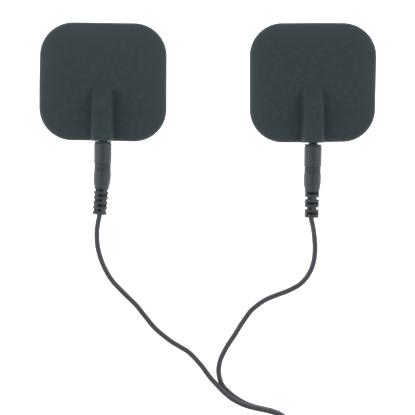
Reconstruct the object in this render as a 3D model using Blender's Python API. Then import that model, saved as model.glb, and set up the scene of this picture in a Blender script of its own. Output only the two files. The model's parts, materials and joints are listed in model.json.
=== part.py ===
"""A pair of reusable carbon-rubber TENS electrodes on a forked two-core lead.

Each electrode is one rubber moulding: a thin pad with a ramped socket boss on its back. A 2 mm pin
plug pushes into each boss. The two single leads join into one twin lead, which is wound into a
tied coil and ends in a 2.5 mm mono jack plug. Everything lies on a flat surface at z = 0, with the
skin side of the pads down. Lengths are in metres, and +Z is up.
"""

import math

import bmesh
import bpy
from mathutils import Matrix, Vector

# ---------------------------------------------------------------- driving dimensions
GAP = 0.0003  # clearance kept between pieces that touch
PIN_HEIGHT = 0.0036  # the pins' axis above the surface

PAD_WIDTH = 0.048
PAD_THICKNESS = 0.0022
PAD_CORNER = 0.0124
PAD_EDGE = 0.0004  # chamfer round the rim

BOSS_LENGTH = 0.0209  # nose to the foot of the ramp
BOSS_FLAT = 0.0140  # nose to the top of the ramp
BOSS_WIDTH = 0.0077
BOSS_FOOT_WIDTH = 0.00835
BOSS_TOP = 0.0072
BOSS_ROUND = 0.0009
BOSS_PROUD = 0.00015  # how far the nose stands out past the pad's edge
NOSE_CHAMFER = 0.0010
NOSE_WIDTH = 0.0054
NOSE_TOP = 0.0068

PIN_RADIUS = 0.0010
PIN_LENGTH = 0.0126  # from the plug's front face
SOCKET_RADIUS = 0.0011
SOCKET_DEPTH = 0.0133  # from the boss's nose
COLLAR_RADIUS = 0.001725
COLLAR_FRONT = 0.0010
COLLAR_BACK = -0.0012
COUNTERBORE_DEPTH = 0.0012

PLUG_RADIUS = 0.00313
PLUG_LENGTH = 0.0180
GRIP_START = 0.0083  # grooved grip band, back from the front face
GRIP_END = 0.0108
CONE_START = 0.0154
BEND_START = 0.0095  # behind here a soft plug can bend aside, towards -X
RELIEF_LENGTH = 0.0098
RELIEF_FRONT_RADIUS = 0.0026
RELIEF_BACK_RADIUS = 0.0025
RELIEF_BORE = 0.0009
SLOT_START = 0.0002
SLOT_WIDTH = 0.00085
SLOT_PITCH = 0.00192
SLOT_COUNT = 5
SLOT_CORE = 0.0012  # radius of the round core that the slots leave
WEB_HALF = 0.0008  # half the width of the two webs that cross each slot

LEAD_RADIUS = 0.0009
CORE_RADIUS = 0.00045
TWIN_RADIUS = 0.00195  # half the width of the two cores and the web between them
LEAD_STEP = 0.0032  # between the points of a single lead's tube
TWIN_STEP = 0.0045

COIL_CENTRE = (0.0108, -0.1395)
COIL_INNER = 0.0146
COIL_OUTER = 0.0244
COIL_HEIGHT = 0.0079
TIE_ANGLE = math.radians(150)
TIE_WIDTH = 0.0040
TIE_THICKNESS = 0.0005

JACK_RADIUS = 0.00125
JACK_LENGTH = 0.0110
JACK_HANDLE_RADIUS = 0.0035
JACK_HANDLE_LENGTH = 0.0200

# Where each plug's front face sits, which way its pin points, how its electrode lies and how much
# the plug is bent (one over the radius of the bend).
SIDES = {
    "left": {
        "front": (-0.03974, -0.00797, PIN_HEIGHT),
        "plug_turn": math.radians(-0.5),
        "pad_length": 0.0448,
        "pad_turn": math.radians(-0.66),
        "pad_shift": -0.0004,
        "pulled_out": 0.0,
        "bend": 9.1,
        "relief_turn": math.radians(-45),
    },
    "right": {
        "front": (0.0398, -0.00912, PIN_HEIGHT),
        "plug_turn": math.radians(-1.32),
        "pad_length": 0.0453,
        "pad_turn": 0.0,
        "pad_shift": 0.0002,
        "pulled_out": 0.0005,
        "bend": 0.0,
        "relief_turn": math.radians(20),
    },
}
JACK_BACK = (-0.0215, -0.1515, PIN_HEIGHT)
JACK_TURN = math.radians(44.4)

# Routes of the leads' centrelines, from the strain reliefs to the split, and on to the coil.
LEFT_ROUTE = [
    (-0.0411, -0.03625, 0.0036),
    (-0.0416, -0.0385, 0.0034),
    (-0.0421, -0.0420, 0.0024),
    (-0.0420, -0.0471, 0.0012),
    (-0.0410, -0.0517, 0.0009),
    (-0.0392, -0.0562, 0.0009),
    (-0.0364, -0.0608, 0.0009),
    (-0.0321, -0.0654, 0.0009),
    (-0.0275, -0.0699, 0.0009),
    (-0.0238, -0.0745, 0.0009),
    (-0.0199, -0.0791, 0.0009),
    (-0.0144, -0.0836, 0.0009),
    (-0.0107, -0.0859, 0.0009),
    (-0.0071, -0.0882, 0.0010),
    (-0.0027, -0.0928, 0.0013),
    (0.0007, -0.0973, 0.0018),
    (0.0036, -0.1004, 0.0024),
    (0.0054, -0.1022, 0.0028),
]
RIGHT_ROUTE = [
    (0.0391, -0.03735, 0.0036),
    (0.0397, -0.0398, 0.0033),
    (0.0403, -0.0434, 0.0023),
    (0.0407, -0.0485, 0.0012),
    (0.0402, -0.0536, 0.0009),
    (0.0384, -0.0582, 0.0009),
    (0.0352, -0.0620, 0.0009),
    (0.0306, -0.0646, 0.0009),
    (0.0261, -0.0663, 0.0009),
    (0.0215, -0.0683, 0.0009),
    (0.0169, -0.0717, 0.0009),
    (0.0147, -0.0744, 0.0009),
    (0.0124, -0.0778, 0.0009),
    (0.0101, -0.0815, 0.0009),
    (0.0072, -0.0859, 0.0009),
    (0.0049, -0.0905, 0.0009),
    (0.0041, -0.0941, 0.0009),
    (0.0043, -0.0971, 0.0009),
    (0.0051, -0.0998, 0.0009),
    (0.0061, -0.1014, 0.0009),
]
TWIN_ROUTE = [
    (0.0061, -0.1022, 0.00195),
    (0.0090, -0.1047, 0.00195),
    (0.0122, -0.1067, 0.00195),
    (0.0155, -0.1081, 0.00195),
    (0.0186, -0.1090, 0.00195),
    (0.0220, -0.1097, 0.00195),
    (0.0256, -0.1107, 0.00195),
    (0.0288, -0.1124, 0.00195),
    (0.0315, -0.1152, 0.00195),
    (0.0333, -0.1188, 0.00195),
    (0.0341, -0.1228, 0.00195),
    (0.0344, -0.1270, 0.00195),
]
TAIL_ROUTE = [
    (-0.0028, -0.1630, 0.0040),
    (-0.0075, -0.1621, 0.0030),
    (-0.0126, -0.1595, 0.0025),
    (-0.0172, -0.1559, 0.0027),
    (-0.0197, -0.1534, 0.0033),
    (-0.0213, -0.1517, 0.0036),
]


# ---------------------------------------------------------------- helpers
def clear_scene():
    for obj in list(bpy.data.objects):
        bpy.data.objects.remove(obj)


def make_material(name, color, roughness, metallic=0.0):
    made = bpy.data.materials.new(name)
    made.use_nodes = True
    shader = made.node_tree.nodes["Principled BSDF"]
    shader.inputs["Base Color"].default_value = (*color, 1.0)
    shader.inputs["Roughness"].default_value = roughness
    shader.inputs["Metallic"].default_value = metallic
    return made


def make_empty(name, location, turn):
    empty = bpy.data.objects.new(name, None)
    empty.location = location
    empty.rotation_euler = (0.0, 0.0, turn)
    bpy.context.scene.collection.objects.link(empty)
    return empty


def add_object(name, mesh, material, parent=None):
    obj = bpy.data.objects.new(name, mesh)
    obj.data.materials.append(material)
    obj.parent = parent
    bpy.context.scene.collection.objects.link(obj)
    return obj


def finish_mesh(name, bm):
    """Merges doubled points, turns the faces out and shades round faces smooth."""
    bmesh.ops.remove_doubles(bm, verts=bm.verts, dist=1e-7)
    bmesh.ops.recalc_face_normals(bm, faces=bm.faces)
    mesh = bpy.data.meshes.new(name)
    bm.to_mesh(mesh)
    bm.free()
    mesh.shade_smooth()
    mesh.set_sharp_from_angle(angle=math.radians(35))
    return mesh


def turned(name, profile, axis="Y", steps=24, closed=False):
    """A mesh turned from (radius, height) points. closed joins the last point to the first, for a
    ring; otherwise the profile starts and ends on the axis."""
    along = Vector((0, 1, 0)) if axis == "Y" else Vector((0, 0, 1))
    bm = bmesh.new()
    verts = [bm.verts.new(Vector((radius, 0, 0)) + along * height) for radius, height in profile]
    pairs = list(zip(verts, verts[1:]))
    if closed:
        pairs.append((verts[-1], verts[0]))
    edges = [bm.edges.new(pair) for pair in pairs]
    bmesh.ops.spin(
        bm,
        geom=verts + edges,
        axis=along,
        cent=(0, 0, 0),
        angle=2 * math.pi,
        steps=steps,
        use_merge=True,
    )
    return finish_mesh(name, bm)


def loft(name, rings):
    """A mesh skinned over rings that have the same number of points, with flat ends."""
    bm = bmesh.new()
    rows = [[bm.verts.new(point) for point in ring] for ring in rings]
    count = len(rows[0])
    for low, high in zip(rows, rows[1:]):
        for i in range(count):
            j = (i + 1) % count
            bm.faces.new((low[i], low[j], high[j], high[i]))
    bm.faces.new(rows[0])
    bm.faces.new(rows[-1])
    return finish_mesh(name, bm)


def box_mesh(name, boxes):
    """Boxes given by their low and high corners."""
    bm = bmesh.new()
    for low, high in boxes:
        low, high = Vector(low), Vector(high)
        made = bmesh.ops.create_cube(bm, size=1.0)["verts"]
        bmesh.ops.scale(bm, vec=high - low, verts=made)
        bmesh.ops.translate(bm, vec=(low + high) / 2, verts=made)
    mesh = bpy.data.meshes.new(name)
    bm.to_mesh(mesh)
    bm.free()
    return mesh


def boolean(obj, other, operation):
    """Adds the Boolean and hides the other object, which is only a tool."""
    modifier = obj.modifiers.new(operation.lower(), "BOOLEAN")
    modifier.operation = operation
    modifier.object = other
    modifier.solver = "EXACT"
    other.hide_render = True
    other.display_type = "WIRE"


def tool(name, mesh, parent, turn=0.0):
    obj = bpy.data.objects.new(name, mesh)
    obj.parent = parent
    obj.rotation_euler = (0.0, 0.0, turn)
    bpy.context.scene.collection.objects.link(obj)
    return obj


def smooth_points(route, spacing):
    """Evenly spaced points on a Catmull-Rom curve through the route."""
    knots = [Vector(point) for point in route]
    knots = [2 * knots[0] - knots[1], *knots, 2 * knots[-1] - knots[-2]]
    fine = []
    parts = 24
    for a, b, c, d in zip(knots, knots[1:], knots[2:], knots[3:]):
        for i in range(parts):
            t = i / parts
            point = 2 * b + (c - a) * t + (2 * a - 5 * b + 4 * c - d) * t**2
            fine.append((point + (3 * b - a - 3 * c + d) * t**3) / 2)
    fine.append(knots[-2])
    length = sum((q - p).length for p, q in zip(fine, fine[1:]))
    step = length / max(1, round(length / spacing))
    points = [fine[0]]
    travelled = 0.0
    for p, q in zip(fine, fine[1:]):
        travelled += (q - p).length
        if travelled >= step * len(points) - 1e-9:
            points.append(q)
    points[-1] = fine[-1]
    return points


def lead_tube(name, route, radius, step, material):
    """A plain round cord along its route, as a filled curve."""
    points = smooth_points(route, step)
    curve = bpy.data.curves.new(name, "CURVE")
    curve.dimensions = "3D"
    curve.bevel_depth = radius
    curve.bevel_resolution = 2
    curve.use_fill_caps = True
    spline = curve.splines.new("POLY")
    spline.points.add(len(points) - 1)
    for slot, point in zip(spline.points, points):
        slot.co = (*point, 1.0)
    return add_object(name, curve, material)


# ---------------------------------------------------------------- electrodes
def rounded_outline(width, length, corner, centre, z):
    """Points round a rectangle with round corners, from the +X side turning towards +Y."""
    steps = 8
    points = []
    for quarter in range(4):
        sign_x = 1 if quarter in (0, 3) else -1
        sign_y = 1 if quarter in (0, 1) else -1
        for i in range(steps + 1):
            angle = (quarter + i / steps) * math.pi / 2
            x = sign_x * (width / 2 - corner) + corner * math.cos(angle)
            y = sign_y * (length / 2 - corner) + corner * math.sin(angle)
            points.append((centre[0] + x, centre[1] + y, z))
    return points


def pad_mesh(centre, length):
    """The sheet, with its rim chamfered above and below. z is measured from the pin's axis."""
    floor = -PIN_HEIGHT
    rings = []
    for inset, height in (
        (PAD_EDGE, 0.0),
        (0.0, PAD_EDGE),
        (0.0, PAD_THICKNESS - PAD_EDGE),
        (PAD_EDGE, PAD_THICKNESS),
    ):
        size = (PAD_WIDTH - 2 * inset, length - 2 * inset)
        rings.append(rounded_outline(*size, PAD_CORNER - inset, centre, floor + height))
    return loft("pad", rings)


def boss_section(y, width, top, bottom, corner):
    """One cross-section of the boss, with its two top corners rounded."""
    steps = 4
    half = width / 2
    points = [(-half, y, bottom)]
    for i in range(steps + 1):
        angle = math.pi - i / steps * math.pi / 2
        x = -half + corner + corner * math.cos(angle)
        points.append((x, y, top - corner + corner * math.sin(angle)))
    for i in range(steps + 1):
        angle = (1 - i / steps) * math.pi / 2
        x = half - corner + corner * math.cos(angle)
        points.append((x, y, top - corner + corner * math.sin(angle)))
    points.append((half, y, bottom))
    return points


def boss_mesh(nose):
    """The socket boss: chamfered nose, level ridge and a ramp that runs out on the pad."""
    top = BOSS_TOP - PIN_HEIGHT
    bottom = 0.0012 - PIN_HEIGHT
    slope = (BOSS_TOP - PAD_THICKNESS) / (BOSS_LENGTH - BOSS_FLAT)
    over = 0.0005
    foot_top = PAD_THICKNESS - PIN_HEIGHT - slope * over
    sections = [
        boss_section(nose, NOSE_WIDTH, NOSE_TOP - PIN_HEIGHT, bottom, BOSS_ROUND),
        boss_section(nose + NOSE_CHAMFER, BOSS_WIDTH, top, bottom, BOSS_ROUND),
        boss_section(nose + BOSS_FLAT, BOSS_WIDTH, top, bottom, BOSS_ROUND),
        boss_section(nose + BOSS_LENGTH + over, BOSS_FOOT_WIDTH, foot_top, bottom, 0.00005),
    ]
    return loft("boss", sections)


def socket_mesh(nose):
    """The hole for the pin and the wider mouth for the collar, as one turned cutter."""
    mouth = COLLAR_RADIUS + GAP
    end = nose + SOCKET_DEPTH
    profile = [
        (0.0, end),
        (SOCKET_RADIUS * 0.6, end),
        (SOCKET_RADIUS, end - 0.0005),
        (SOCKET_RADIUS, nose + COUNTERBORE_DEPTH),
        (mouth, nose + COUNTERBORE_DEPTH),
        (mouth, nose - 0.002),
        (0.0, nose - 0.002),
    ]
    return turned("socket", profile)


def make_electrode(side, place, material):
    """The moulding's origin is on the pin's axis, at the plug's front face."""
    origin = make_empty(side + "_electrode_axis", place["front"], place["pad_turn"])
    nose = GAP + place["pulled_out"]
    length = place["pad_length"]
    centre = (place["pad_shift"], nose + BOSS_PROUD + length / 2)
    electrode = add_object(side + "_electrode", pad_mesh(centre, length), material, origin)
    boss = tool(side + "_boss_tool", boss_mesh(nose), origin)
    skew = place["plug_turn"] - place["pad_turn"]
    socket = tool(side + "_socket_tool", socket_mesh(nose), origin, skew)
    boolean(electrode, boss, "UNION")
    boolean(electrode, socket, "DIFFERENCE")


# ---------------------------------------------------------------- pin plugs
def pin_profile():
    """Rounded pin, flange that the moulding grips, and a crimp barrel open at the back."""
    return [
        (0.0, PIN_LENGTH),
        (0.0005, PIN_LENGTH - 0.0001),
        (0.00085, PIN_LENGTH - 0.0004),
        (PIN_RADIUS, PIN_LENGTH - 0.0009),
        (PIN_RADIUS, -0.0025),
        (0.0016, -0.0025),
        (0.0016, -0.0040),
        (0.0013, -0.0040),
        (0.0013, -0.0100),
        (0.0008, -0.0100),
        (0.0008, -0.0065),
        (0.0, -0.0065),
    ]


def plug_profile():
    """The moulded body, hollow where it holds the pin, with a shallow grip band."""
    outside = [
        (0.00275, 0.0),
        (0.00305, -0.0003),
        (PLUG_RADIUS, -0.0007),
        (PLUG_RADIUS, -GRIP_START),
        (0.0030, -GRIP_START - 0.0001),
        (0.0030, -GRIP_END + 0.0001),
        (PLUG_RADIUS - 0.00004, -GRIP_END),
        (PLUG_RADIUS, -0.0131),
        (0.0031, -CONE_START),
        (0.0029, -0.0167),
        (0.00256, -PLUG_LENGTH),
    ]
    inside = [
        (0.0016, -PLUG_LENGTH),
        (0.0016, -BEND_START),
        (0.0016, -0.0043),
        (0.0019, -0.0043),
        (0.0019, -0.0022),
        (0.0013, -0.0022),
        (0.0013, COLLAR_BACK - GAP),
        (COLLAR_RADIUS + GAP, COLLAR_BACK - GAP),
        (COLLAR_RADIUS + GAP, 0.0),
    ]
    return outside + inside


def relief_profile(front, back, length, bore):
    return [
        (front - 0.0001, 0.0),
        (front, -0.0001),
        (back, -length + 0.0002),
        (back - 0.0002, -length),
        (bore, -length),
        (bore, 0.0),
    ]


def slot_mesh(core, turn):
    """Cutters for the slots. Each slot leaves the round core and two webs, and each pair of webs
    is a quarter turn from the last."""
    far = 0.006
    steps = 8
    start = math.asin(WEB_HALF / core)
    outline = []
    for i in range(steps + 1):
        angle = start + (math.pi - 2 * start) * i / steps
        outline.append((core * math.cos(angle), core * math.sin(angle)))
    outline += [(-far, WEB_HALF), (-far, far), (far, far), (far, WEB_HALF)]
    bm = bmesh.new()
    for i in range(SLOT_COUNT):
        high = -SLOT_START - i * SLOT_PITCH
        for half_turn in (0.0, math.pi):
            rotation = Matrix.Rotation(turn + i * math.pi / 2 + half_turn, 3, "Y")
            rows = []
            for y in (high, high - SLOT_WIDTH):
                rows.append([bm.verts.new(rotation @ Vector((x, y, z))) for x, z in outline])
            for j in range(len(outline)):
                k = (j + 1) % len(outline)
                bm.faces.new((rows[0][j], rows[0][k], rows[1][k], rows[1][j]))
            for row in rows:
                bm.faces.new(row)
    return finish_mesh("slots", bm)


def aside(back, bend):
    """How far a bent plug's axis has moved towards -X at this distance behind its front face."""
    curved = min(max(back - BEND_START, 0.0), PLUG_LENGTH - BEND_START)
    straight = max(back - PLUG_LENGTH, 0.0)
    return bend * (curved * curved / 2 + (PLUG_LENGTH - BEND_START) * straight)


def bent(mesh, bend):
    """The mesh, moved aside along a bent plug's axis."""
    for vertex in mesh.vertices:
        vertex.co.x -= aside(-vertex.co.y, bend)
    return mesh


def make_relief(name, parent, start, material, turn=0.0, bend=0.0, wide=0.0, bore=RELIEF_BORE):
    """A slotted strain relief whose front face is start behind the plug's front."""
    back_turn = -math.atan(bend * (PLUG_LENGTH - BEND_START))
    back = make_empty(name + "_front", (-aside(start, bend), -start, 0.0), back_turn)
    back.parent = parent
    front_radius = RELIEF_FRONT_RADIUS + wide
    back_radius = RELIEF_BACK_RADIUS + wide
    profile = relief_profile(front_radius, back_radius, RELIEF_LENGTH, bore)
    relief = add_object(name, turned(name, profile, closed=True), material, back)
    slots = tool(name + "_slots", slot_mesh(SLOT_CORE + wide, turn), back)
    boolean(relief, slots, "DIFFERENCE")


def make_plug(side, place, materials):
    front = make_empty(side + "_plug_front", place["front"], place["plug_turn"])
    pin = turned("pin", pin_profile(), steps=16)
    add_object(side + "_contact_pin", pin, materials["plated_brass"], front)
    inner = PIN_RADIUS + 0.0001
    collar_ring = [
        (COLLAR_RADIUS, COLLAR_FRONT),
        (COLLAR_RADIUS, COLLAR_BACK),
        (inner, COLLAR_BACK),
        (inner, COLLAR_FRONT),
    ]
    collar = turned("collar", collar_ring, closed=True)
    add_object(side + "_pin_collar", collar, materials["black_plastic"], front)
    bend = place["bend"]
    body = bent(turned("plug", plug_profile(), closed=True), bend)
    add_object(side + "_plug_body", body, materials["moulded_pvc"], front)
    start = PLUG_LENGTH + GAP
    soft = materials["soft_pvc"]
    make_relief(side + "_strain_relief", front, start, soft, place["relief_turn"], bend)
    core_start = 0.0068
    core_end = start + RELIEF_LENGTH
    core_profile = [(0.0, -core_start), (CORE_RADIUS, -core_start)]
    for back in (BEND_START, 0.0125, 0.0155, PLUG_LENGTH, core_end):
        core_profile.append((CORE_RADIUS, -back))
    core_profile.append((0.0, -core_end))
    core = bent(turned("core", core_profile, steps=10), bend)
    add_object(side + "_wire_core", core, materials["copper"], front)


# ---------------------------------------------------------------- coil, tie and jack plug
def coil_ring_profile():
    """The wound bundle's outline, with its four edges rounded."""
    edge = 0.0010
    return [
        (COIL_OUTER - edge, 0.0),
        (COIL_OUTER, edge),
        (COIL_OUTER, COIL_HEIGHT - edge),
        (COIL_OUTER - edge, COIL_HEIGHT),
        (COIL_INNER + edge, COIL_HEIGHT),
        (COIL_INNER, COIL_HEIGHT - edge),
        (COIL_INNER, edge),
        (COIL_INNER + edge, 0.0),
    ]


def band_mesh(low, high, thickness, width):
    """A flat band round a rectangle in the XZ plane, low and high being its inside corners."""
    bm = bmesh.new()
    rows = []
    for grow in (0.0, thickness):
        for y in (-width / 2, width / 2):
            corners = [
                (low[0] - grow, y, low[1] - grow),
                (high[0] + grow, y, low[1] - grow),
                (high[0] + grow, y, high[1] + grow),
                (low[0] - grow, y, high[1] + grow),
            ]
            rows.append([bm.verts.new(corner) for corner in corners])
    inner_near, inner_far, outer_near, outer_far = rows
    around = ((inner_near, inner_far), (inner_far, outer_far))
    around += ((outer_far, outer_near), (outer_near, inner_near))
    for a, b in around:
        for i in range(4):
            j = (i + 1) % 4
            bm.faces.new((a[i], a[j], b[j], b[i]))
    return finish_mesh("band", bm)


def make_coil(materials):
    """The coil's outer shape, notched underneath where the tie passes below it."""
    centre = make_empty("coil_centre", (*COIL_CENTRE, 0.0), 0.0)
    ring = turned("coil", coil_ring_profile(), axis="Z", steps=40, closed=True)
    coil = add_object("lead_coil", ring, materials["lead_pvc"], centre)
    floor = TIE_THICKNESS
    notch_low = (COIL_INNER - 0.004, -TIE_WIDTH / 2 - GAP, -0.002)
    notch_high = (COIL_OUTER + 0.004, TIE_WIDTH / 2 + GAP, floor + GAP)
    notch = tool("coil_notch", box_mesh("notch", [(notch_low, notch_high)]), centre, TIE_ANGLE)
    boolean(coil, notch, "DIFFERENCE")
    low = (COIL_INNER - GAP, floor)
    high = (COIL_OUTER + GAP, COIL_HEIGHT + 2 * GAP)
    band = band_mesh(low, high, TIE_THICKNESS, TIE_WIDTH)
    tie = add_object("coil_tie", band, materials["tie_plastic"], centre)
    tie.rotation_euler = (0.0, 0.0, TIE_ANGLE)


def jack_tip_profile():
    """Ball-ended tip contact with the thin rod that runs back through the insulator."""
    return [
        (0.0, JACK_LENGTH),
        (0.0006, JACK_LENGTH - 0.0002),
        (0.00105, JACK_LENGTH - 0.0008),
        (0.0011, JACK_LENGTH - 0.0011),
        (0.0008, JACK_LENGTH - 0.0019),
        (JACK_RADIUS, JACK_LENGTH - 0.0036),
        (JACK_RADIUS, 0.0071),
        (0.0004, 0.0071),
        (0.0004, -0.0075),
        (0.0, -0.0075),
    ]


def make_jack(materials):
    """A 2.5 mm mono jack plug. Its frame's +Y points the way the jack does."""
    total = JACK_HANDLE_LENGTH + GAP + RELIEF_LENGTH
    away = Matrix.Rotation(JACK_TURN, 3, "Z") @ Vector((0.0, total, 0.0))
    front = make_empty("jack_front", Vector(JACK_BACK) + away, JACK_TURN)
    sleeve_profile = [
        (JACK_RADIUS, 0.0063),
        (JACK_RADIUS, -0.0012),
        (0.0022, -0.0012),
        (0.0022, -0.0030),
        (0.00095, -0.0030),
        (0.00095, 0.0063),
    ]
    sleeve = turned("sleeve", sleeve_profile, steps=20, closed=True)
    add_object("jack_sleeve", sleeve, materials["plated_brass"], front)
    insulator_profile = [
        (0.0012, 0.0070),
        (0.0012, 0.0064),
        (0.00085, 0.0064),
        (0.00085, -0.0035),
        (0.0005, -0.0035),
        (0.0005, 0.0070),
    ]
    insulator = turned("insulator", insulator_profile, steps=20, closed=True)
    add_object("jack_insulator", insulator, materials["black_plastic"], front)
    tip = turned("tip", jack_tip_profile(), steps=20)
    add_object("jack_tip", tip, materials["plated_brass"], front)
    handle_profile = [
        (JACK_HANDLE_RADIUS - 0.0005, 0.0),
        (JACK_HANDLE_RADIUS, -0.0007),
        (JACK_HANDLE_RADIUS, -0.0160),
        (JACK_HANDLE_RADIUS - 0.0003, -0.0180),
        (0.0030, -JACK_HANDLE_LENGTH),
        (0.0022, -JACK_HANDLE_LENGTH),
        (0.0025, -0.0180),
        (0.0025, -0.0009),
        (JACK_RADIUS + 0.0001, -0.0009),
        (JACK_RADIUS + 0.0001, 0.0),
    ]
    handle = turned("handle", handle_profile, closed=True)
    add_object("jack_handle", handle, materials["moulded_pvc"], front)
    start = JACK_HANDLE_LENGTH + GAP
    make_relief("jack_strain_relief", front, start, materials["soft_pvc"], wide=0.0003, bore=0.0013)
    ends = {"jack_tip_core": (-0.0006, -0.0078), "jack_sleeve_core": (0.0008, -0.0038)}
    for name, (offset, y) in ends.items():
        core_radius = 0.00035
        profile = [(0.0, y), (core_radius, y), (core_radius, -total), (0.0, -total)]
        core = add_object(name, turned("core", profile, steps=10), materials["copper"], front)
        core.location = (offset, 0.0, 0.0)


# ---------------------------------------------------------------- the whole set
def main():
    clear_scene()
    materials = {
        "carbon_rubber": make_material("carbon_rubber", (0.040, 0.053, 0.058), 0.75),
        "moulded_pvc": make_material("moulded_pvc", (0.070, 0.080, 0.085), 0.45),
        "soft_pvc": make_material("soft_pvc", (0.060, 0.068, 0.072), 0.55),
        "lead_pvc": make_material("lead_pvc", (0.062, 0.066, 0.072), 0.45),
        "black_plastic": make_material("black_plastic", (0.012, 0.012, 0.013), 0.4),
        "tie_plastic": make_material("tie_plastic", (0.02, 0.02, 0.021), 0.4),
        "plated_brass": make_material("plated_brass", (0.78, 0.77, 0.74), 0.22, 1.0),
        "copper": make_material("copper", (0.80, 0.42, 0.26), 0.35, 1.0),
    }
    for side, place in SIDES.items():
        make_electrode(side, place, materials["carbon_rubber"])
        make_plug(side, place, materials)
    lead_tube("left_lead", LEFT_ROUTE, LEAD_RADIUS, LEAD_STEP, materials["lead_pvc"])
    lead_tube("right_lead", RIGHT_ROUTE, LEAD_RADIUS, LEAD_STEP, materials["lead_pvc"])
    lead_tube("twin_lead", TWIN_ROUTE, TWIN_RADIUS, TWIN_STEP, materials["lead_pvc"])
    make_coil(materials)
    lead_tube("lead_tail", TAIL_ROUTE, TWIN_RADIUS, TWIN_STEP, materials["lead_pvc"])
    make_jack(materials)


main()
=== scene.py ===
"""Looks of a pair of carbon-rubber TENS electrodes on a forked two-core lead.

The electrodes, plugs, strain reliefs, leads, coil, tie and jack plug are remade here in fine
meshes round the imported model, in its own frame: metres, +Z up, the set lying on z = 0.
"""

import json
import math

import bmesh
import bpy
import numpy as np
from mathutils import Matrix, Vector


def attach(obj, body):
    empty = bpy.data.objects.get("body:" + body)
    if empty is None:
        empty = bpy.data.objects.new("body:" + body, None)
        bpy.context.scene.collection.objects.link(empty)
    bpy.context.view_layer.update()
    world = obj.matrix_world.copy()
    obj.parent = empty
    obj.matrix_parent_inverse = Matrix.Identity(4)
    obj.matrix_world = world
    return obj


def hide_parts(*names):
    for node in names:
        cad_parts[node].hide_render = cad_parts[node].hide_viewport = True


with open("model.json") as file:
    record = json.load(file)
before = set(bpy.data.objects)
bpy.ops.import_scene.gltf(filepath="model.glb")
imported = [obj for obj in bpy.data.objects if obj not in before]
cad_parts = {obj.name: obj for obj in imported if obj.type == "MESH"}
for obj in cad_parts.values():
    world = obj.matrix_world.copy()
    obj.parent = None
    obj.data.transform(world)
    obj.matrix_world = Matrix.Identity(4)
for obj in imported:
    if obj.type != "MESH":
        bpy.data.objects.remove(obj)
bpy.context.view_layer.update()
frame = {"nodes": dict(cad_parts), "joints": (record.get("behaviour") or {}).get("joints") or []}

# ---------------------------------------------------------------- driving dimensions
MM = 0.001
GAP = 0.3 * MM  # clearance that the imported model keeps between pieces
ROUND_STEPS = 72  # sides of a round piece

PAD_WIDTH = 48.0 * MM
PAD_LENGTH = {"left": 44.8 * MM, "right": 45.3 * MM}
PAD_THICKNESS = 2.2 * MM
PAD_CORNER = 12.4 * MM
PAD_CROWN = 0.35 * MM  # how much thinner the sheet is at its rim
PAD_CROWN_WIDTH = 11.0 * MM
# The rim's section: distance in from the edge and height, before the crown's fall.
RIM = [(0.08, 0.55), (0.14, 0.85), (0.24, 1.15), (0.38, 1.4), (0.56, 1.6), (0.8, 1.78),
       (1.1, 1.93), (1.45, 2.05), (1.9, 2.14), (2.4, 2.19)]
PAD_TURN = {"left": -0.66, "right": 0.0}  # degrees about +Z
PAD_SHIFT = {"left": -0.4 * MM, "right": 0.2 * MM}
# How far each sheet's edge strays outward from a true outline: (degrees round it, millimetres).
PAD_STRAY = {
    "left": [(0, 0.1), (45, 0.0), (90, 0.06), (135, 0.1), (180, 0.32), (225, 0.12), (255, 0.0),
             (285, 0.1), (318, 0.42), (342, 0.16)],
    "right": [(0, -0.12), (22, 0.12), (50, 0.05), (80, 0.22), (110, 0.1), (180, 0.1), (250, 0.05),
              (290, -0.08), (318, -0.45), (345, -0.28)],
}
RIM_PAINTED_HIGHLIGHT = 1.5  # strength of the painted highlight along the rim
FAR_PAINTED_LIGHT = {"left": 0.55, "right": 0.1}  # strength of the painted light that grows towards the edge far from the plug

BOSS_LENGTH = 20.9 * MM  # nose to the foot of the ramp
BOSS_FLAT = 14.0 * MM  # nose to the top of the ramp
BOSS_WIDTH = 6.9 * MM  # at the shoulders
BOSS_FOOT_WIDTH = 8.35 * MM
BOSS_DRAFT = 0.18  # how far its walls lean out for each unit of height
BOSS_TOP = 7.2 * MM
BOSS_ROUND = 1.5 * MM  # rounding of its shoulders
BOSS_ASIDE = {"left": -0.3 * MM, "right": 0.0}  # from the pin's axis
BOSS_PROUD = 0.15 * MM  # how far its nose stands out of the sheet's edge
BOSS_FILLET = 0.3 * MM  # where its walls meet the sheet
NOSE_CHAMFER = 1.0 * MM
NOSE_WIDTH = 5.6 * MM
NOSE_TOP = 6.8 * MM
SOCKET_RADIUS = 1.1 * MM
SOCKET_DEPTH = 13.3 * MM
MOUTH_RADIUS = 2.025 * MM
MOUTH_DEPTH = 1.2 * MM

PLUG_LENGTH = 17.7 * MM
PLUG_FRONT = 0.2 * MM  # how far its soft lip stands towards the boss
PLUG_RADIUS = 3.28 * MM
PLUG_BEND = {"left": 6.5, "right": 0.0}  # one over the radius of a soft plug's bend, per metre
BEND_START = 7.0 * MM  # behind the front face
RELIEF_LENGTH = 9.8 * MM
SLOT_START = 0.2 * MM
SLOT_WIDTH = 0.85 * MM
SLOT_PITCH = 1.89 * MM
SLOT_COUNT = 5
SLOT_CORE = 1.2 * MM  # radius at the bottom of the slots
SLOT_WEB = 0.8 * MM  # half the width of the webs that cross each slot
RELIEF_TURN = {"left": -45.0, "right": 20.0}  # degrees about the pin's axis

LEAD_RADIUS = 0.96 * MM
CORE_OFFSET = 1.05 * MM  # from the twin lead's middle to the middle of each core
WEB_HALF = 0.22 * MM  # half the thickness of the web between the cores
TWIN_WIDTH = 2 * (CORE_OFFSET + LEAD_RADIUS)
FORK_LEAN = 60.0  # degrees that the two cores stand up where they meet

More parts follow.
